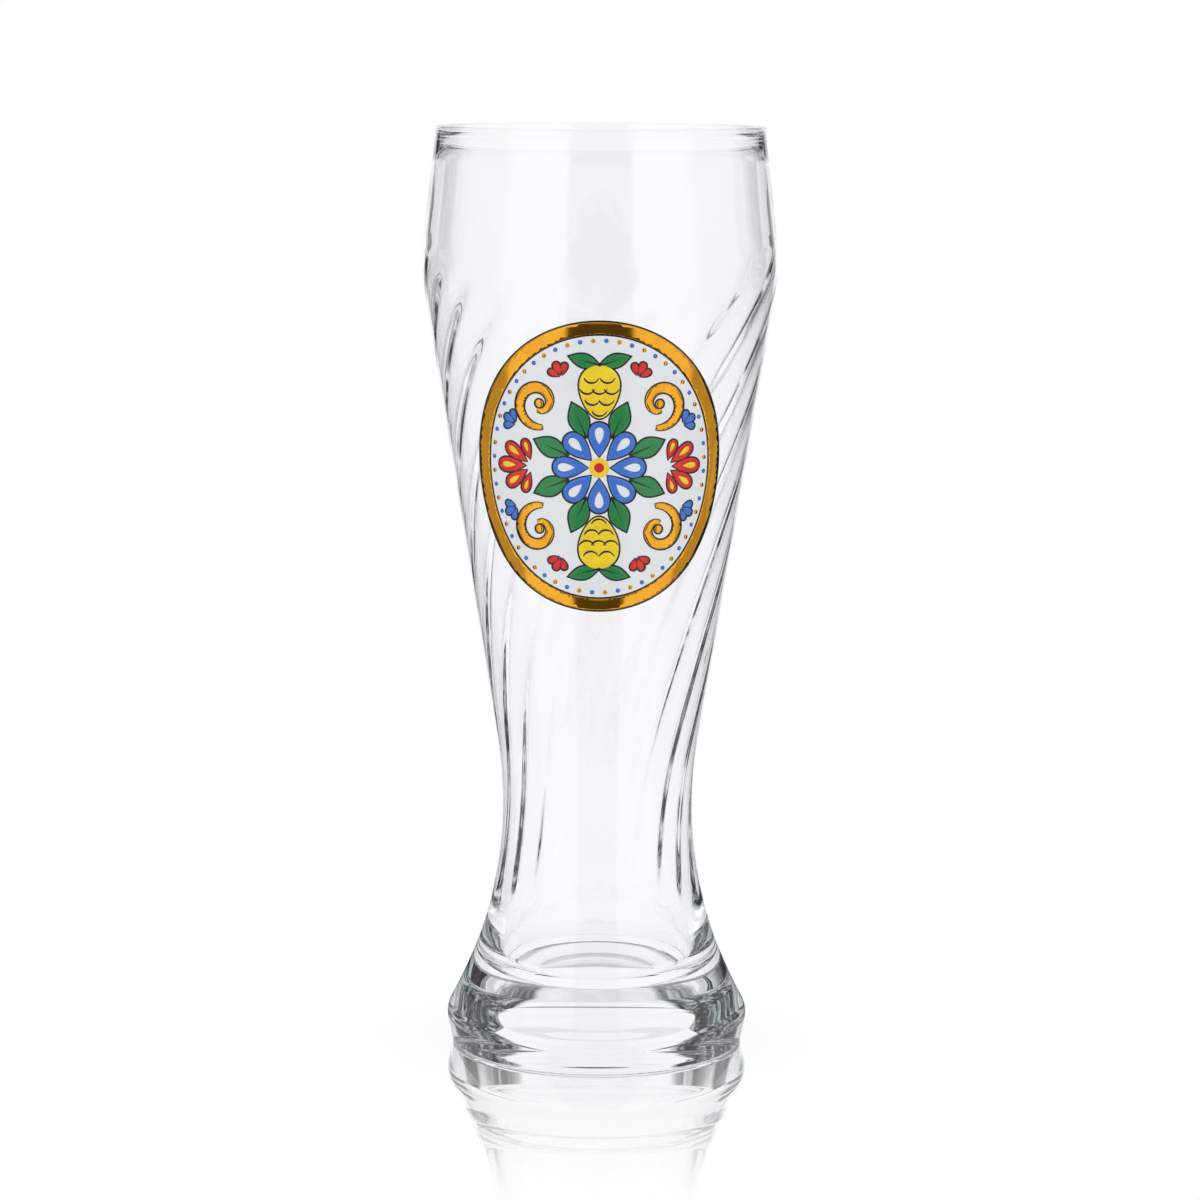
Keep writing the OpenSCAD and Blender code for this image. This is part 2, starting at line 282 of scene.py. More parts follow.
def ranged(tree, value, low, high, at_low=0.0, at_high=1.0, kind="LINEAR"):
    """A number that goes from one level to another while the value goes from low to high."""
    node = add(
        tree,
        "ShaderNodeMapRange",
        {"Value": value, "From Min": low, "From Max": high, "To Min": at_low, "To Max": at_high},
        interpolation_type=kind,
    )
    return term(tree, node)


def mixed(tree, share_of_second, first, second, blend="MIX"):
    """A colour mixed of two."""
    node = add(tree, "ShaderNodeMix", {0: share_of_second}, data_type="RGBA", blend_type=blend)
    plug(tree, node.inputs["A"], first)
    plug(tree, node.inputs["B"], second)
    return node.outputs["Result"]


def mixed_shaders(tree, share_of_second, first, second):
    """A shader mixed of two."""
    return add(tree, "ShaderNodeMixShader", {0: share_of_second, 1: first, 2: second})


def grey(level):
    return (level, level, level, 1.0)


def new_tree(kind, name, inputs, outputs):
    """A node group, its inputs as terms by name, and its end node."""
    tree = bpy.data.node_groups.new(name, kind)
    for in_out, sockets in (("INPUT", inputs), ("OUTPUT", outputs)):
        for socket_name, socket_kind, *default in sockets:
            socket = tree.interface.new_socket(
                socket_name, in_out=in_out, socket_type="NodeSocket" + socket_kind
            )
            if default:
                socket.default_value = default[0]
    sockets = tree.nodes.new("NodeGroupInput").outputs
    given = {socket.name: Term(tree, socket) for socket in sockets if socket.name}
    return tree, given, tree.nodes.new("NodeGroupOutput")


def add_group(tree, name, make):
    """Adds the shader group of that name, made on its first use."""
    return add(tree, "ShaderNodeGroup", node_tree=bpy.data.node_groups.get(name) or make())


def geometry_tree(name, build, values):
    """A tree that turns a mesh into smooth, real faces, with an input for each value."""
    kinds = {int: "Int", float: "Float"}
    inputs = [(key, kinds.get(type(value), "Material"), value) for key, value in values.items()]
    mesh = ("Mesh", "Geometry")
    tree, given, ends = new_tree("GeometryNodeTree", name, [mesh] + inputs, [mesh])
    smooth = add(tree, "GeometryNodeSetShadeSmooth", {0: build(tree, given), "Shade Smooth": True})
    real = add(tree, "GeometryNodeRealizeInstances", {0: smooth})
    painted = add(tree, "GeometryNodeSetMaterial", {0: real, "Material": given["Material"]})
    plug(tree, ends.inputs[0], painted)
    return tree


def use_tree(piece, name, build, values):
    """Puts the geometry tree of that name on a piece, and makes it on its first use."""
    tree = bpy.data.node_groups.get(name) or geometry_tree(name, build, values)
    modifier = piece.modifiers.new(name, "NODES")
    modifier.node_group = tree
    for item in tree.interface.items_tree:
        if item.item_type == "SOCKET" and item.in_out == "INPUT" and item.name in values:
            modifier[item.identifier] = values[item.name]


def settle(piece):
    """Turns what the modifiers made into the piece's own plain mesh."""
    graph = bpy.context.evaluated_depsgraph_get()
    graph.update()
    mesh = bpy.data.meshes.new_from_object(
        piece.evaluated_get(graph), preserve_all_data_layers=True, depsgraph=graph
    )
    piece.modifiers.clear()
    piece.data = mesh
    mesh.name = piece.name


def hand_over(piece, node):
    """Says what the finished piece rides on, and hides the imported part that it stands for."""
    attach(piece, "root")
    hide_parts(node)


def new_object(name, data):
    """An object of the scene."""
    item = bpy.data.objects.new(name, data)
    bpy.context.scene.collection.objects.link(item)
    return item


def new_piece(name, points, edges=(), faces=(), **attributes):
    """A mesh object, with a number at each point for each named attribute."""
    mesh = bpy.data.meshes.new(name)
    mesh.from_pydata(points, edges, faces)
    for attribute, values in attributes.items():
        mesh.attributes.new(attribute, "FLOAT", "POINT").data.foreach_set("value", values)
    return new_object(name, mesh)


# Outline of the glass

# How finely the outline is cut: the longest turn and step on its roundings, the longest
# step on its straights, and the steps of the hollow and of the bead
OUTSIDE_TURN, OUTSIDE_STEP, OUTSIDE_STRAIGHT = math.radians(6), 1.5 * MM, 9 * MM
INSIDE_TURN, INSIDE_STEP = math.radians(4), 1.35 * MM
HOLLOW_STEPS = BEAD_STEPS = 24


def fillet(before, corner, after, radius, step, reach):
    """Points of the arc that rounds a corner, at most a step and a reach apart."""
    to_before = (before - corner).normalized()
    to_after = (after - corner).normalized()
    half = math.acos(to_before.dot(to_after)) / 2
    centre = corner + (to_before + to_after).normalized() * radius / math.sin(half)
    first = corner + to_before * radius / math.tan(half) - centre
    last = corner + to_after * radius / math.tan(half) - centre
    start = math.atan2(first.y, first.x)
    sweep = (math.atan2(last.y, last.x) - start + 3 * math.pi) % (2 * math.pi) - math.pi
    count = max(4, math.ceil(abs(sweep) / min(step, reach / radius)))
    angles = [start + sweep * i / count for i in range(count + 1)]
    return [centre + radius * Vector((math.cos(a), math.sin(a))) for a in angles]


def rounded(corners, radii, step, reach):
    """A line through corners, rounded at each inner corner."""
    points = [Vector(c) for c in corners]
    line = [points[0]]
    for i, radius in enumerate(radii):
        line += fillet(*points[i : i + 3], radius, step, reach)
    return line + [points[-1]]


def spaced(line, step):
    """The same line, with more points where they are further apart than step."""
    points = []
    for a, b in zip(line, line[1:]):
        parts = max(1, math.ceil((b - a).length / step))
        points += [a.lerp(b, i / parts) for i in range(parts)]
    return points + [line[-1]]


def glass_outline(o):
    """The whole outline as (radius, height, fluted) from under the foot to the floor."""
    shares = [math.sin(math.pi / 2 * i / HOLLOW_STEPS) for i in range(HOLLOW_STEPS + 1)]
    hollow = [Vector((o.punt / 2 * s, o.punt_depth * (1 - s**o.punt_flat))) for s in shares]
    lip_z = o.height - o.lip / 2
    lip_r = (o.mouth - o.mouth_wall) / 2
    outside = rounded(
        [
            (o.punt / 2, 0),
            (o.base / 2, 0),
            (o.foot / 2, o.foot_z),
            (o.waist / 2, o.waist_z),
            (o.belly / 2, o.belly_z),
            (o.mouth / 2, lip_z - o.lip / 2),
        ],
        [o.base_round, o.foot_round, o.waist_round, o.belly_round],
        OUTSIDE_TURN,
        OUTSIDE_STEP,
    )
    inside = rounded(
        [
            (0, o.floor_z),
            (o.floor / 2, o.floor_z),
            (o.inner_waist / 2, o.inner_waist_z),
            (o.belly / 2 - o.belly_wall, o.belly_z),
            (o.mouth / 2 - o.mouth_wall, lip_z - o.lip / 2),
        ],
        [o.floor_round, o.inner_waist_round, o.belly_round],
        INSIDE_TURN,
        INSIDE_STEP,
    )
    half = o.lip / 2
    start = -math.acos(min(1.0, (o.mouth / 2 - lip_r) / half))
    sweep = math.pi - 2 * start
    turns = [start + sweep * i / BEAD_STEPS for i in range(BEAD_STEPS + 1)]
    bead = [Vector((lip_r + half * math.cos(a), lip_z + half * math.sin(a))) for a in turns]
    outer = hollow[:-1] + spaced(outside, OUTSIDE_STRAIGHT)[:-1] + bead
    inner = spaced(inside, INSIDE_STEP)[-2::-1]
    return [(p.x, p.y, 0.0) for p in outer] + [(p.x, p.y, 1.0) for p in inner]


def glass_tree(tree, given):
    """Turns an outline round the axis and presses the flutes in."""
    outline = given["Mesh"]
    rings = term(tree, add(tree, "GeometryNodeAttributeDomainSize", {0: outline}))
    sectors = given["Flutes"] * given["Flats"]
    grid = add(tree, "GeometryNodeMeshGrid", {"Vertices X": sectors + 1.0, "Vertices Y": rings})
    index = term(tree, add(tree, "GeometryNodeInputIndex"))
    sector = (index / rings).math("FLOOR")
    ring = index - sector * rings

    def along_outline(kind, field):
        node = add(tree, "GeometryNodeSampleIndex", {0: outline}, data_type=kind)
        plug(tree, node.inputs[1], field)
        plug(tree, node.inputs["Index"], ring)
        return node.outputs[0]

    place = along_outline("FLOAT_VECTOR", add(tree, "GeometryNodeInputPosition"))
    name = add(tree, "GeometryNodeInputNamedAttribute", {"Name": "fluted"}, data_type="FLOAT")
    fluted = Term(tree, along_outline("FLOAT", name))
    radius, _, height = split(tree, place)

    low, tips = given["Low end"], given["Tips"]
    opened = (height - low) / given["Low length"]
    opened = ((tips - height) / given["Tip length"]).math("MINIMUM", opened)
    opened = opened.math("MINIMUM", 1.0).math("MAXIMUM", 0.0)
    opened = opened * opened * (opened * -2.0 + 3.0)
    across = sector / given["Flats"] * (2 * math.pi)
    arch = (across.math("COSINE") * -0.5 + 0.5) * opened
    radius = radius + arch * given["Depth"] * fluted
    swirl_height = given["Top"] + (height - given["Top"]) * fluted
    climb = ((swirl_height - low) / (tips - low)).math("MINIMUM", 1.0).math("MAXIMUM", 0.0)
    even = given["Even twist"]
    swirl = given["Twist"] * climb * (even + (1.0 - even) * climb) + given["Start"]
    angle = sector / sectors * (2 * math.pi) + swirl
    place = combined(tree, radius * angle.math("COSINE"), radius * angle.math("SINE"), height)
    formed = add(tree, "GeometryNodeSetPosition", {0: grid, "Position": place})
    return add(tree, "GeometryNodeMergeByDistance", {0: formed, "Distance": 1e-6})


def by_label(group):
    """The values of a group of settings, by the labels that a user sees."""
    return {group.bl_rna.properties[key].name: getattr(group, key) for key in group.__annotations__}


def make_glass(settings):
    """The glass body, from its outline."""
    line = glass_outline(settings.outline)
    last = len(line) - 1
    piece = new_piece(
        "glass_body",
        [(r, 0, z) for r, z, fluted in line],
        [(i, i + 1) for i in range(last)],
        fluted=[fluted for r, z, fluted in line],
    )
    values = by_label(settings.flutes)
    values["Top"] = settings.outline.height
    values["Material"] = clear_glass(settings.colours)
    use_tree(piece, "Fluted glass", glass_tree, values)
    settle(piece)
    hand_over(piece, "glass")


# The flat picture, in millimetres from its centre


def toward(degrees):
    return Vector((math.cos(math.radians(degrees)), math.sin(math.radians(degrees))))


def placed(points, place, degrees=0, sides=(1, 1)):
    """A flat shape turned by an angle, moved to a place and mirrored."""
    x, y = toward(degrees), toward(degrees + 90)
    moved = [Vector(place) + p[0] * x + p[1] * y for p in points]
    return [(p.x * sides[0], p.y * sides[1]) for p in moved]


def circle_steps(steps):
    return [2 * math.pi * i / steps for i in range(steps)]


def oval(w, h, steps):
    return [(w / 2 * math.cos(t), h / 2 * math.sin(t)) for t in circle_steps(steps)]


def disc(d):
    return oval(d, d, 32)


def petal(long, wide):
    """A petal with a pointed foot and a round tip."""
    return [
        (0.65 * wide * math.sin(t) * math.sin(t / 2), long * (1 - math.cos(t)) / 2)
        for t in circle_steps(40)
    ]


def egg(long, wide):
    """A hop cone, round at its foot and narrower at its tip."""
    return [
        (wide / 2 * math.sin(t) * (1 + 0.25 * math.cos(t)), long * (1 - math.cos(t)) / 2)
        for t in circle_steps(64)
    ]


def leaf(long, wide):
    """A leaf, pointed at both ends."""
    ups = [i / 16 for i in range(17)]
    right = [(wide / 2 * math.sin(math.pi * up), long * up) for up in ups]
    return right + [(-x, y) for x, y in right[-2:0:-1]]


def stroke(radius, start, sweep, thick, shrink=0.0, steps=20):
    """A stroke along an arc, thickest in its middle, whose radius may shrink."""
    shares = [i / steps for i in range(steps + 1)]
    rays = [toward(start + sweep * s) for s in shares]
    radii = [radius * (1 - shrink * s) for s in shares]
    half = [thick * (0.2 + 0.3 * math.sin(math.pi * s**0.7)) for s in shares]
    out = [r * (k + h) for r, k, h in zip(rays, radii, half)]
    back = [r * (k - h) for r, k, h in zip(rays, radii, half)]
    return out + back[::-1]


# Mirrorings that repeat a shape, as signs of its two sides
ONCE = ((1, 1),)
UP_DOWN = ((1, 1), (1, -1))
LEFT_RIGHT = ((1, 1), (-1, 1))
QUARTERS = ((1, 1), (-1, 1), (-1, -1), (1, -1))
# Parts of a petal: where it starts, its length and its width, as shares of the petal's
WHOLE = (0, 1, 1)
HEART = (0.36, 0.5, 0.42)
# Height of the cones' feet, and the turn of the two leaves there
CONE_FOOT = 25.2
BRACT_ANGLE = 74
# Directions of the leaves between the petals
BETWEEN_PETALS = [22.5 + 45 * i for i in range(8)]
# Which of the picture's shapes is the oval inside the border
INNER_OVAL = 2
# Pitch of the inner points that let the picture bend round the glass, the height of a row
# of them as a share of it, and the size of the oval that they fill, a quarter being all
POINT_PITCH = 0.9
ROW_SHARE = 0.866
FILLED = 0.2425


def spray(place, radius, angles, lengths, wide, grow, part, mirrorings):
    """Petals on a circle round a place, one for each angle, in each mirroring."""
    start, long_share, wide_share = part
    shapes = []
    for sides in mirrorings:
        for angle, long in zip(angles, lengths):
            across = wide * long / max(lengths) * wide_share + 2 * grow
            shape = petal(long * long_share + 2 * grow, across)
            foot = Vector(place) + (radius + long * start - grow) * toward(angle)
            shapes.append(placed(shape, foot, angle - 90, sides))
    return shapes


def rosette(grow, part=WHOLE):
    return spray((0, 0), 2.8, range(0, 360, 45), [8.4] * 8, 5, grow, part, ONCE)


def fans(grow, part=WHOLE):
    angles, lengths = (-70, -35, 0, 35, 70), (5, 7, 7.8, 7, 5)
    return spray((16.4, 0), 1.9, angles, lengths, 3.6, grow, part, LEFT_RIGHT)


def sprigs(place, angle, grow):
    angles, lengths = [angle + a for a in (-37, 0, 37)], (2.8, 3.2, 2.8)
    return spray(place, 0.9, angles, lengths, 1.7, grow, WHOLE, QUARTERS)


def beside_petals(shape, out, bract, down):
    """A shape in each gap between petals, and two smaller ones at the foot of each cone."""
    foot = Vector((0, CONE_FOOT)) - down * toward(90 - BRACT_ANGLE)
    return [placed(shape, out * toward(a), a - 90) for a in BETWEEN_PETALS] + [
        placed(bract, foot, -BRACT_ANGLE, sides) for sides in QUARTERS
    ]


def leaves(grow):
    shape = leaf(9 + 3 * grow, 4.6 + 2 * grow)
    bract = leaf(7.6 + 3 * grow, 3.2 + 2 * grow)
    return beside_petals(shape, 8.2 - 1.5 * grow, bract, 1.5 * grow)


def ribs():
    """The rib along each leaf."""

    def wedge(long):
        return [(0.25, 0), (0, long), (-0.25, 0)]

    return beside_petals(wedge(6.75), 7.9, wedge(5.7), 0.3)


def cones(grow):
    shape = egg(13 + 2 * grow, 9.4 + 2 * grow)
    return [placed(shape, (0, CONE_FOOT + grow), 180, sides) for sides in UP_DOWN]


def scales(line):
    """Edges of the cones' scales, row by row from the foot."""
    rows = ((-1.9, 1.9), (-2.9, 0, 2.9), (-1.7, 1.7), (0,))
    edge = stroke(1.9, 200, 140, line * 1.2)
    return [
        placed(edge, (x, CONE_FOOT - 2.7 * (row + 0.9)), 0, sides)
        for sides in UP_DOWN
        for row, places in enumerate(rows)
        for x in places
    ]


def scrolls(grow):
    """A scroll in each quarter, with a bead where it ends."""
    curl = stroke(6, -100 - 4 * grow, 380 + 8 * grow, 2.4 + 2 * grow, 0.72, 60)
    return [placed(curl, (14.9, 15.6), 0, sides) for sides in QUARTERS] + [
        placed(disc(1.9 + 2 * grow), (14.7, 15.6), 0, sides) for sides in QUARTERS
    ]


def painted_shapes(width, height, border_w, border_h, line):
    """All shapes of the picture as (colour, outline), each over those before it."""
    inner_w = width - 2 * border_w - 2 * line
    inner_h = height - 2 * border_h - 2 * line
    rings = [
        ("black", oval(width, height, 160)),
        ("gold", oval(width - 2 * line, height - 2 * line, 160)),
        ("black", oval(inner_w, inner_h, 160)),
        ("white", oval(inner_w - 2 * line, inner_h - 2 * line, 160)),
    ]

    def every_motif(grow):
        return {
            "blue": rosette(grow) + sprigs((20.6, 10.2), 30, grow),
            "red": fans(grow) + sprigs((9, 22), 65, grow),
            "green": leaves(grow),
            "yellow": cones(grow),
            "gilt": scrolls(grow),
        }

    shapes = rings
    shapes += [("black", s) for group in every_motif(line).values() for s in group]
    shapes += [(colour, s) for colour, group in every_motif(0).items() for s in group]
    shapes += [("white", s) for s in rosette(0, HEART)]
    shapes += [("yellow", s) for s in fans(0, HEART)]
    shapes += [("black", s) for s in ribs() + scales(line)]
    shapes += [("yellow", disc(4.8)), ("red", disc(2.4))]
    return shapes


def turns_left(shape):
    """Whether a flat shape's points run anticlockwise."""
    return sum(a[0] * b[1] - b[0] * a[1] for a, b in zip(shape, shape[1:] + shape[:1])) > 0


@lru_cache
def painted_faces(*sizes):
    """The flat picture cut into triangles, as points and {colour: triangles}."""
    shapes = painted_shapes(*sizes)
    width, height = sizes[:2]
    points, outlines = [], []
    for colour, shape in shapes:
        corners = list(range(len(points), len(points) + len(shape)))
        outlines.append(corners if turns_left(shape) else corners[::-1])
        points += [Vector(p) for p in shape]
    rows, columns = int(height / POINT_PITCH), int(width / POINT_PITCH)
    for row in range(-rows, rows + 1):
        for column in range(-columns, columns + 1):
            x, y = (column + row % 2 / 2) * POINT_PITCH, row * POINT_PITCH * ROW_SHARE
            if (x / width) ** 2 + (y / height) ** 2 < FILLED:
                points.append(Vector((x, y)))
    cut = geometry.delaunay_2d_cdt(points, [], outlines, 1, 1e-5, True)
    points, _, triangles, _, _, owners = cut
    sheets = {}
    for triangle, owner in zip(triangles, owners):
        if owner:
            sheets.setdefault(shapes[max(owner)][0], []).append(triangle)
            if INNER_OVAL in owner:
                sheets.setdefault("inside", []).append(triangle)
    return points, sheets


def sheet_piece(name, settings, colour):
    """A new piece that holds the flat faces of one colour."""
    p = settings.picture
    sizes = [p.width, p.height, p.border_w, p.border_h, p.line]
    points, sheets = painted_faces(*[round(size / MM, 4) for size in sizes])
    faces = sheets[colour]
    used = sorted({i for face in faces for i in face})
    new = {old: i for i, old in enumerate(used)}
    return new_piece(
        name,
        [(points[i].x * MM, points[i].y * MM, 0) for i in used],
        faces=[[new[i] for i in face] for face in faces],
    )


# Diameter and sides of a bead, and how far its middle lies inside the border's line
BEAD, BEAD_SIDES = 1.1 * MM, 20
BEAD_INSET = 1.6 * MM
# How far a colour reaches into the white ground
COLOUR_SUNK = 0.01 * MM


def wrap_tree(tree, given):
    """Lays a flat sheet round the wall and gives it its thickness."""
    sheet = given["Mesh"]
    up = combined(tree, z=1.0)
    thick = given["High face"] - given["Low face"]
    values = {"Mesh": sheet, "Offset": up, "Offset Scale": thick, "Individual": False}
    raised = add(tree, "GeometryNodeExtrudeMesh", values)
    under = add(tree, "GeometryNodeFlipFaces", {0: sheet})
    joined = add(tree, "GeometryNodeJoinGeometry")
    plug(tree, joined.inputs[0], raised)
    plug(tree, joined.inputs[0], under)
    closed = add(tree, "GeometryNodeMergeByDistance", {0: joined, "Distance": 1e-7})

    x, y, z = split(tree, add(tree, "GeometryNodeInputPosition"))
    taper = given["Wall taper"]
    slant = taper.math("ARCTANGENT")
    climb = y * slant.math("COSINE")
    radius = given["Wall radius"] + climb * taper
    angle = x / radius
    off = z + given["Low face"]
    out = radius + off * slant.math("COSINE")
    height = given["Centre height"] + climb - off * slant.math("SINE")
    place = combined(tree, out * angle.math("SINE"), out * angle.math("COSINE") * -1.0, height)
    return add(tree, "GeometryNodeSetPosition", {0: closed, "Position": place})


def bead_tree(tree, given):
    """Adds a row of flat beads along an oval to a sheet."""
    index = term(tree, add(tree, "GeometryNodeInputIndex"))
    angle = (index + given["First"]) / given["Beads"] * (2 * math.pi)
    place = combined(
        tree,
        angle.math("COSINE") * given["Oval width"] / 2.0,
        angle.math("SINE") * given["Oval height"] / 2.0,
    )
    points = add(tree, "GeometryNodePoints", {"Count": given["Beads"], "Position": place})
    values = {"Vertices": BEAD_SIDES, "Radius": given["Bead diameter"] / 2.0}
    bead = add(tree, "GeometryNodeMeshCircle", values, fill_type="TRIANGLE_FAN")
    row = add(tree, "GeometryNodeInstanceOnPoints", {"Points": points})
    plug(tree, row.inputs["Instance"], bead)
    joined = add(tree, "GeometryNodeJoinGeometry")
    plug(tree, joined.inputs[0], row)
    plug(tree, joined.inputs[0], given["Mesh"])
    return joined


def add_beads(piece, settings, first, material):
    """Adds every second bead along the border, from the given one on."""
    p = settings.picture
    inset = 2 * (p.line + BEAD_INSET)
    values = {
        "Beads": p.beads // 2,
        "First": (first + 0.5) / 2,
        "Oval width": p.width - 2 * p.border_w - inset,
        "Oval height": p.height - 2 * p.border_h - inset,
        "Bead diameter": BEAD,
        "Material": material,
    }
    use_tree(piece, "Bead row", bead_tree, values)


def make_coat(settings, node, colour, material, slot, low, high, first_bead=None):
    """A coat of one colour, wrapped round the wall between two heights off the glass."""
    o, p = settings.outline, settings.picture
    piece = sheet_piece(node + "_coat", settings, colour)
    if first_bead is not None:
        add_beads(piece, settings, first_bead, material)
    taper = (o.belly - o.waist) / 2 / (o.belly_z - o.waist_z)
    values = {
        "Centre height": p.centre_z,
        "Wall radius": o.waist / 2 + taper * (p.centre_z - o.waist_z),
        "Wall taper": taper,
        "Low face": low,
        "High face": high,
        "Material": material,
    }
    use_tree(piece, "Fire on the wall", wrap_tree, values)
    settle(piece)
    hand_over(piece, node)


# Finishes

ENAMEL_IOR = 1.5
GLASS_IOR = 1.52
# How strongly the glass tints what is seen through it
GLASS_DENSITY = 6.0
# Faint unevenness of the glass, as the scale of its noise and its height
RIPPLE_SCALE, RIPPLE = 60.0, 0.01 * MM
# Mirrorings after which the glass gives off a painted glow in place of the light caught inside
# the wall. The renderer follows no path further, and would show such places black.
CAUGHT_AFTER = 3.5
# Noise in the painted glow of caught light: its scale and swirl, and the levels between which
# the painted glow goes from its darkest to its brightest
PAINTED_GLOW_SCALE, PAINTED_GLOW_SWIRL = 130.0, 0.6
PAINTED_GLOW_LEVELS = (0.5, 0.75)


def new_material(name):
    """A material with an empty Principled surface."""
    material = bpy.data.materials.new(name)
    material.use_nodes = True
    tree = material.node_tree
    surface = tree.nodes["Principled BSDF"]
    where = add(tree, "ShaderNodeTexCoord").outputs["Object"]
    return material, tree, surface, where


def mottle_group():
    """Shader group for slow changes of colour and gloss, and a fine uneven surface."""
    tree, given, ends = new_tree(
        "ShaderNodeTree",
        "Fired surface",
        [
            ("Place", "Vector"),
            ("Colour", "Color"),
            ("Shade", "Float", 0.1),
            ("Patch size", "Float", 0.004),
            ("Gloss", "Float", 0.15),
            ("Gloss change", "Float", 0.1),
        ],
        [("Colour", "Color"), ("Roughness", "Float"), ("Height", "Float")],
    )
    scale = given["Patch size"].math("POWER", -1.0)
    slow, _ = noise(tree, given["Place"], scale)
    grain, _ = noise(tree, given["Place"], scale * 9.0, detail=4.0)
    patch = slow - 0.5
    darker = patch * given["Shade"] * 2.0 + 1.0
    values = {"Hue": patch * 0.02 + 0.5, "Value": darker, "Color": given["Colour"]}
    hue = add(tree, "ShaderNodeHueSaturation", values)
    plug(tree, ends.inputs["Colour"], hue)
    change = (grain - 0.5) * given["Gloss change"] * 2.0
    plug(tree, ends.inputs["Roughness"], given["Gloss"] + change)
    plug(tree, ends.inputs["Height"], grain + slow * 2.0)
    return tree


def fired_surface(tree, surface, where, colour, shade, patch, gloss, change, relief):
    """Gives a surface the fired look from the shared group."""
    group = add_group(tree, "Fired surface", mottle_group)
    values = (where, (*colour, 1), shade, patch, gloss, change)
    for socket, value in zip(group.inputs, values):
        plug(tree, socket, value)
    plug(tree, surface.inputs["Base Color"], group.outputs["Colour"])
    plug(tree, surface.inputs["Roughness"], group.outputs["Roughness"])
    bump(tree, surface, relief, group.outputs["Height"])


def enamel(name, colour, shade=0.12):
    """Fired ceramic colour, glossy under a glassy skin."""
    material, tree, surface, where = new_material(name)
    finish = {"patch": 3 * MM, "gloss": 0.22, "change": 0.08, "relief": 0.004 * MM}
    fired_surface(tree, surface, where, colour, shade, **finish)
    plug(tree, surface.inputs["IOR"], ENAMEL_IOR)
    return material


def gold_lustre(name, colour):
    """Fired gold, a thin bright metal film."""
    material, tree, surface, where = new_material(name)
    finish = {"patch": 5 * MM, "gloss": 0.1, "change": 0.06, "relief": 0.003 * MM}
    fired_surface(tree, surface, where, colour, shade=0.15, **finish)
    plug(tree, surface.inputs["Metallic"], 1.0)
    return material


def clear_glass(colours):
    """Clear soda-lime glass with a faint ripple, a faint green in its depth, and a painted glow of
    streaky light where a path has mirrored inside the wall.
    """
    material, tree, surface, where = new_material("clear_glass")
    plug(tree, surface.inputs["Base Color"], (*colours.glass, 1))
    plug(tree, surface.inputs["Roughness"], 0.0)
    plug(tree, surface.inputs["IOR"], GLASS_IOR)
    plug(tree, surface.inputs["Transmission Weight"], 1.0)
    ripple, _ = noise(tree, where, RIPPLE_SCALE, detail=1.0)
    bump(tree, surface, RIPPLE, ripple)
    values = {"Color": (*colours.depth, 1), "Density": GLASS_DENSITY}
    depth = add(tree, "ShaderNodeVolumeAbsorption", values)
    plug(tree, tree.nodes["Material Output"].inputs["Volume"], depth)
    # Painted light: past a few mirrorings the glass glows in dark and pale streaks that stand in for
    # light caught in the wall
    clouds, _ = noise(tree, where, PAINTED_GLOW_SCALE, distortion=PAINTED_GLOW_SWIRL)
    bright = ranged(tree, clouds, *PAINTED_GLOW_LEVELS)
    caught = mixed(tree, bright, (*colours.caught, 1), (*colours.streaks, 1))
    mirrorings = Term(tree, add(tree, "ShaderNodeLightPath").outputs["Glossy Depth"])
    glow = mixed(tree, mirrorings.math("GREATER_THAN", CAUGHT_AFTER), grey(0.0), caught)
    plug(tree, surface.inputs["Emission Color"], glow)
    plug(tree, surface.inputs["Emission Strength"], 1.0)
    return material


# Studio

# Light round the glass near the horizon and higher up. Each pair is a share of the half
# turn from behind the glass to the camera, and the level from there on.
LOW_LIGHT = ((0.0, 1.0), (0.13, 0.02), (0.25, 0.04), (0.36, 0.7), (0.63, 1.0), (0.88, 0.3))
HIGH_LIGHT = ((0.0, 0.82), (0.13, 0.05), (0.46, 0.6), (0.63, 1.0), (0.88, 0.4))
OVERHEAD = 0.5
# Angles above the horizon, in degrees, where one light goes over into the next
LOW_TO_HIGH = (26, 29)
HIGH_TO_OVERHEAD = (40, 55)
# Light just above the table as it is seen through the glass, and the heights on a ball of
# radius 1 where it goes over into the other light
HORIZON_LIGHT = ((0.0, 1.0), (0.25, 0.04), (0.36, 0.75), (0.63, 1.0), (0.88, 0.3))
HORIZON_TOP = (0.1, 0.14)
# Half the width of the step from one level to the next
HALF_STEP = 0.01
# Glints of the room behind the glass: how small they are, the levels of the noise between
# which they rise, their brightest level, their tint, the share of other hues in it, and
# the share of the half turn where they end
GLINT_SCALE = 11.0
GLINT_NOISE = (0.48, 0.7)
GLINT_LEVEL = 0.8
GLINT_TINT = (0.75, 0.95, 1.0, 1.0)
GLINT_HUES = 0.4
GLINT_END = 0.46

WHITE = grey(1.0)
# Air under the foot, without which the foot's underside wouldn't mirror
FLOOR_GAP = 0.1 * MM
FLOOR_RADIUS = 6.0
FLOOR_SIDES = 64
# Changes of the floor with the distance from the glass's axis: where each begins and ends,
# and the shares there of the room's light seen through the glass, and of glow over shadow
ROOM_FADE = (0.6, 1.2, 0.0, 0.85)
GLOW_FADE = (0.033, 0.07, 0.6, 1.0)
# Distances where the floor's mirror begins and ends to fade, and how far it is turned away
# from the camera, from 0 to 1, where it begins to mirror and does so fully
MIRROR_ENDS = (0.04, 0.15)
MIRROR_TURNED = (0.58, 0.68)


def light_bands(tree, share_round, levels):
    """Levels of light round the glass, with short soft steps between them."""
    node = add(tree, "ShaderNodeValToRGB", {0: share_round})
    stops = node.color_ramp.elements
    stops[0].position, stops[0].color = 0.0, grey(levels[0][1])
    stops[1].position, stops[1].color = 1.0, grey(levels[-1][1])
    for (_, before), (place, level) in zip(levels, levels[1:]):
        stops.new(place - HALF_STEP).color = grey(before)
        stops.new(place + HALF_STEP).color = grey(level)
    return node.outputs["Color"]


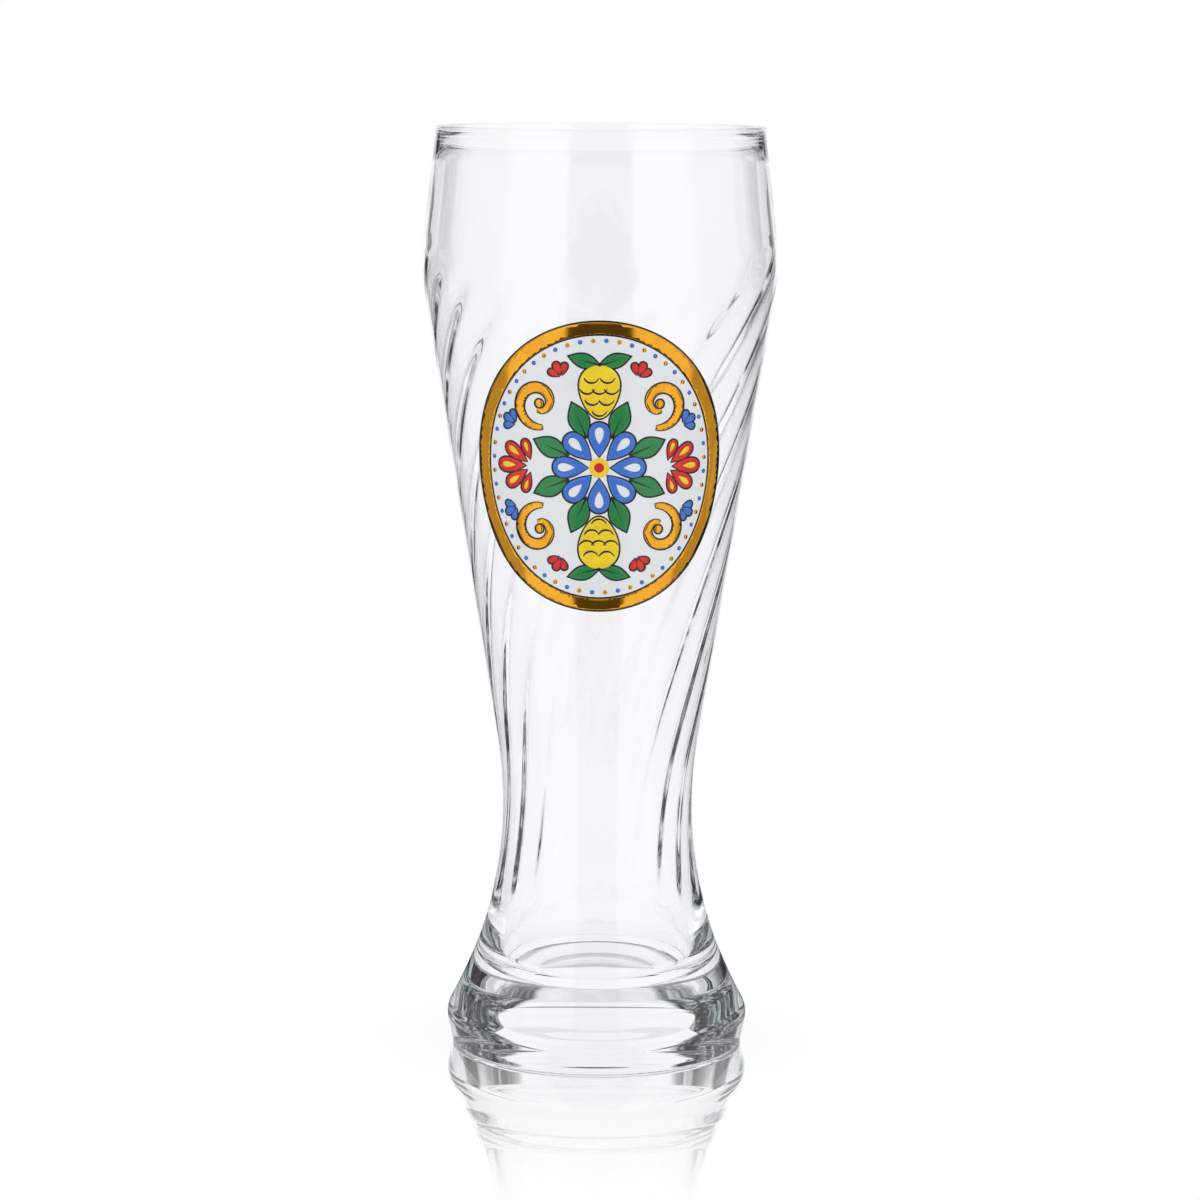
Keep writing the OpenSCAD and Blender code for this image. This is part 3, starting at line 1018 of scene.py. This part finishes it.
def surroundings_group():
    """Shader group for the light that reaches the glass from each direction."""
    tree, given, ends = new_tree(
        "ShaderNodeTree",
        "Studio surroundings",
        [("Direction", "Vector")],
        [("Level", "Color"), ("Horizon", "Color"), ("Height", "Float")],
    )
    way = add(tree, "ShaderNodeVectorMath", {0: given["Direction"]}, operation="NORMALIZE")
    across, back, up = split(tree, way)
    share_round = across.math("ARCTAN2", back).math("ABSOLUTE") / math.pi

    def between(angles, below, above):
        low, high = (math.sin(math.radians(angle)) for angle in angles)
        return mixed(tree, ranged(tree, up, low, high), below, above)

    low = light_bands(tree, share_round, LOW_LIGHT)
    high = light_bands(tree, share_round, HIGH_LIGHT)
    level = between(LOW_TO_HIGH, low, high)
    level = between(HIGH_TO_OVERHEAD, level, grey(OVERHEAD))
    clouds, hues = noise(tree, way, GLINT_SCALE, detail=3.0, distortion=1.0)
    strength = ranged(tree, clouds, *GLINT_NOISE, 0.0, GLINT_LEVEL)
    hue = mixed(tree, GLINT_HUES, GLINT_TINT, hues)
    glints = add(tree, "ShaderNodeVectorMath", {0: hue, "Scale": strength}, operation="SCALE")
    behind = share_round.math("LESS_THAN", GLINT_END)
    plug(tree, ends.inputs["Level"], mixed(tree, behind, level, glints, "SCREEN"))
    plug(tree, ends.inputs["Horizon"], light_bands(tree, share_round, HORIZON_LIGHT))
    plug(tree, ends.inputs["Height"], up)
    return tree


def surroundings(tree, direction):
    """The studio's light from a direction, its light at the horizon there, and the height."""
    group = add_group(tree, "Studio surroundings", surroundings_group)
    plug(tree, group.inputs[0], direction)
    return group.outputs


def make_world(studio):
    """White for the camera, even daylight for matt colours, the studio for glass and gold."""
    world = bpy.data.worlds.new("studio")
    bpy.context.scene.world = world
    world.use_nodes = True
    tree = world.node_tree
    rays = add(tree, "ShaderNodeLightPath").outputs
    direction = add(tree, "ShaderNodeTexCoord").outputs["Generated"]
    level, horizon, height = surroundings(tree, direction)
    through = mixed(tree, ranged(tree, height, *HORIZON_TOP), horizon, level)
    daylight = grey(studio.daylight)
    light = mixed(tree, rays["Is Glossy Ray"], daylight, level)
    # Rays that the glass bends count as glossy too, so this comes after
    light = mixed(tree, rays["Is Transmission Ray"], light, through)
    light = mixed(tree, rays["Diffuse Depth"], light, daylight)
    light = mixed(tree, rays["Is Camera Ray"], light, WHITE)
    plug(tree, tree.nodes["Background"].inputs["Color"], light)


def floor_material(studio):
    """White floor that mirrors what stands on it and fades to plain white."""
    material = bpy.data.materials.new("studio_floor")
    material.use_nodes = True
    tree = material.node_tree
    tree.nodes.clear()
    out = tree.nodes.new("ShaderNodeOutputMaterial")
    where = add(tree, "ShaderNodeTexCoord").outputs["Object"]
    away = add(tree, "ShaderNodeVectorMath", {0: where}, operation="LENGTH").outputs["Value"]

    def fade(near, far, at_near, at_far):
        return ranged(tree, away, near, far, at_near, at_far, "SMOOTHSTEP")

    rays = add(tree, "ShaderNodeLightPath").outputs
    level = surroundings(tree, where)["Level"]
    # The gold mirrors a table darker than the room, and the glass shows a white table that
    # takes on the room's levels far out
    dark = add(tree, "ShaderNodeVectorMath", {0: level, 1: level}, operation="MULTIPLY")
    seen = mixed(tree, rays["Is Glossy Ray"], WHITE, dark)
    through = mixed(tree, fade(*ROOM_FADE), WHITE, level)
    seen = mixed(tree, rays["Is Transmission Ray"], seen, through)
    glow = add(tree, "ShaderNodeEmission", {"Color": seen})
    # The matt share near the foot keeps its shadow
    matt = add(tree, "ShaderNodeBsdfDiffuse", {"Color": grey(0.9)})
    camera_ray = Term(tree, rays["Is Camera Ray"])
    glowing = fade(*GLOW_FADE) * camera_ray.math("MAXIMUM", rays["Is Glossy Ray"])
    glowing = glowing.math("MAXIMUM", rays["Is Transmission Ray"])
    lit = mixed_shaders(tree, glowing, matt, glow)
    # The mirror fades away from the foot, and where the camera looks down steeply
    mirror = add(tree, "ShaderNodeBsdfGlossy", {"Color": WHITE, "Roughness": 0.02})
    facing = add(tree, "ShaderNodeLayerWeight", {"Blend": 0.5}).outputs["Facing"]
    mirrored = fade(*MIRROR_ENDS, studio.mirror, 0.0) * camera_ray
    mirrored = mirrored * ranged(tree, facing, *MIRROR_TURNED)
    both = mixed_shaders(tree, mirrored, lit, mirror)
    plug(tree, out.inputs["Surface"], both)
    return material


def make_floor(studio):
    """A wide round floor, with air between it and the foot so that the foot still mirrors."""
    ring = [
        (FLOOR_RADIUS * math.cos(a), FLOOR_RADIUS * math.sin(a), -FLOOR_GAP)
        for a in circle_steps(FLOOR_SIDES)
    ]
    wedges = [(0, i + 1, (i + 1) % FLOOR_SIDES + 1) for i in range(FLOOR_SIDES)]
    floor = new_piece("floor", [(0, 0, -FLOOR_GAP)] + ring, faces=wedges)
    floor.data.materials.append(floor_material(studio))


def make_lamps(studio):
    """Two tall soft boxes, left and right in front of the glass."""
    away, height, aim_height = 0.9, 0.5, 0.12
    for name, azimuth in (("left", -42), ("right", 42)):
        lamp = bpy.data.lights.new("soft_box_" + name, "AREA")
        lamp.shape = "RECTANGLE"
        lamp.size, lamp.size_y = 0.5, 0.8
        lamp.energy = studio.soft_boxes
        holder = new_object(lamp.name, lamp)
        holder.visible_glossy = holder.visible_transmission = False
        a = math.radians(azimuth)
        holder.location = Vector((math.sin(a) * away, -math.cos(a) * away, height))
        aim = Vector((0, 0, aim_height)) - holder.location
        holder.rotation_mode = "QUATERNION"
        holder.rotation_quaternion = aim.to_track_quat("-Z", "Y")


def make_camera(studio):
    """The camera where the photograph was taken from."""
    data = bpy.data.cameras.new("camera")
    data.lens = studio.lens
    data.sensor_width = 36
    camera = new_object("camera", data)
    turned = (
        Matrix.Rotation(-studio.camera_yaw, 3, "Z")
        @ Matrix.Rotation(math.pi / 2 - studio.camera_pitch, 3, "X")
        @ Matrix.Rotation(studio.camera_roll, 3, "Z")
    )
    camera.rotation_mode = "QUATERNION"
    camera.rotation_quaternion = turned.to_quaternion()
    camera.location = (0, -studio.camera_distance, studio.camera_height)
    data.clip_start = 0.05
    bpy.context.scene.camera = camera


# Operators


class BEERGLASS_OT_body(bpy.types.Operator):
    """Make the clear glass body with its swirled flutes"""

    bl_idname = "beer_glass.body"
    bl_label = "Glass Body"
    bl_options = {"REGISTER", "UNDO"}

    def execute(self, context):
        make_glass(context.scene.beer_glass)
        return {"FINISHED"}


class BEERGLASS_OT_ground(bpy.types.Operator):
    """Make the white ground under the picture"""

    bl_idname = "beer_glass.ground"
    bl_label = "White Ground"
    bl_options = {"REGISTER", "UNDO"}

    def execute(self, context):
        settings = context.scene.beer_glass
        p = settings.picture
        white = enamel("white_enamel", settings.colours.white, 0.03)
        make_coat(settings, "white_ground", "inside", white, "white_enamel", -p.sunk, p.ground)
        return {"FINISHED"}


class BEERGLASS_OT_border(bpy.types.Operator):
    """Make the gold border of the picture"""

    bl_idname = "beer_glass.border"
    bl_label = "Gold Border"
    bl_options = {"REGISTER", "UNDO"}

    def execute(self, context):
        settings = context.scene.beer_glass
        p = settings.picture
        gold = gold_lustre("gold_lustre", settings.colours.gold)
        top = p.ground + p.colour
        make_coat(settings, "gold_border", "gold", gold, "gold_lustre", -p.sunk, top)
        return {"FINISHED"}


class BEERGLASS_OT_colours(bpy.types.Operator):
    """Make the black lines and the colours of the picture"""

    bl_idname = "beer_glass.colours"
    bl_label = "Lines and Colours"
    bl_options = {"REGISTER", "UNDO"}

    def execute(self, context):
        settings = context.scene.beer_glass
        p = settings.picture
        faces = (p.ground - COLOUR_SUNK, p.ground + p.colour)

        def enamelled(node, colour, first_bead=None):
            slot = colour + "_enamel"
            material = enamel(slot, getattr(settings.colours, colour))
            make_coat(settings, node, colour, material, slot, *faces, first_bead)

        gilt = gold_lustre("gilt_lustre", settings.colours.gold)
        enamelled("black_lines", "black")
        make_coat(settings, "gold_scrolls", "gilt", gilt, "gold_lustre", *faces, first_bead=0)
        enamelled("blue_petals", "blue", first_bead=1)
        enamelled("green_leaves", "green")
        enamelled("yellow_cones", "yellow")
        enamelled("red_blossoms", "red")
        return {"FINISHED"}


class BEERGLASS_OT_studio(bpy.types.Operator):
    """Set up the world, the floor, the lamps and the camera"""

    bl_idname = "beer_glass.studio"
    bl_label = "Studio"
    bl_options = {"REGISTER", "UNDO"}

    def execute(self, context):
        studio = context.scene.beer_glass.studio
        make_world(studio)
        make_floor(studio)
        make_lamps(studio)
        make_camera(studio)
        context.scene.view_settings.view_transform = "Standard"
        return {"FINISHED"}


OPERATORS = (
    BEERGLASS_OT_body,
    BEERGLASS_OT_ground,
    BEERGLASS_OT_border,
    BEERGLASS_OT_colours,
    BEERGLASS_OT_studio,
)


class BEERGLASS_PT_panel(bpy.types.Panel):
    """Sidebar panel with the settings and the operators"""

    bl_label = "Beer Glass"
    bl_space_type = "VIEW_3D"
    bl_region_type = "UI"
    bl_category = "Beer Glass"

    def draw(self, context):
        settings = context.scene.beer_glass
        for group in ("outline", "flutes", "picture", "colours", "studio"):
            box = self.layout.box()
            box.label(text=group.title())
            values = getattr(settings, group)
            for name in values.__annotations__:
                box.prop(values, name)
        for operator in OPERATORS:
            self.layout.operator(operator.bl_idname)


CLASSES = (
    OutlineSettings,
    FluteSettings,
    PictureSettings,
    ColourSettings,
    StudioSettings,
    BeerGlassSettings,
    *OPERATORS,
    BEERGLASS_PT_panel,
)


def register():
    for cls in CLASSES:
        bpy.utils.register_class(cls)
    bpy.types.Scene.beer_glass = PointerProperty(type=BeerGlassSettings)


def unregister():
    del bpy.types.Scene.beer_glass
    for cls in reversed(CLASSES):
        bpy.utils.unregister_class(cls)


def main():
    """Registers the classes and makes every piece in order."""
    register()
    bpy.ops.beer_glass.body()
    bpy.ops.beer_glass.ground()
    bpy.ops.beer_glass.border()
    bpy.ops.beer_glass.colours()
    bpy.ops.beer_glass.studio()


if __name__ == "__main__":
    main()
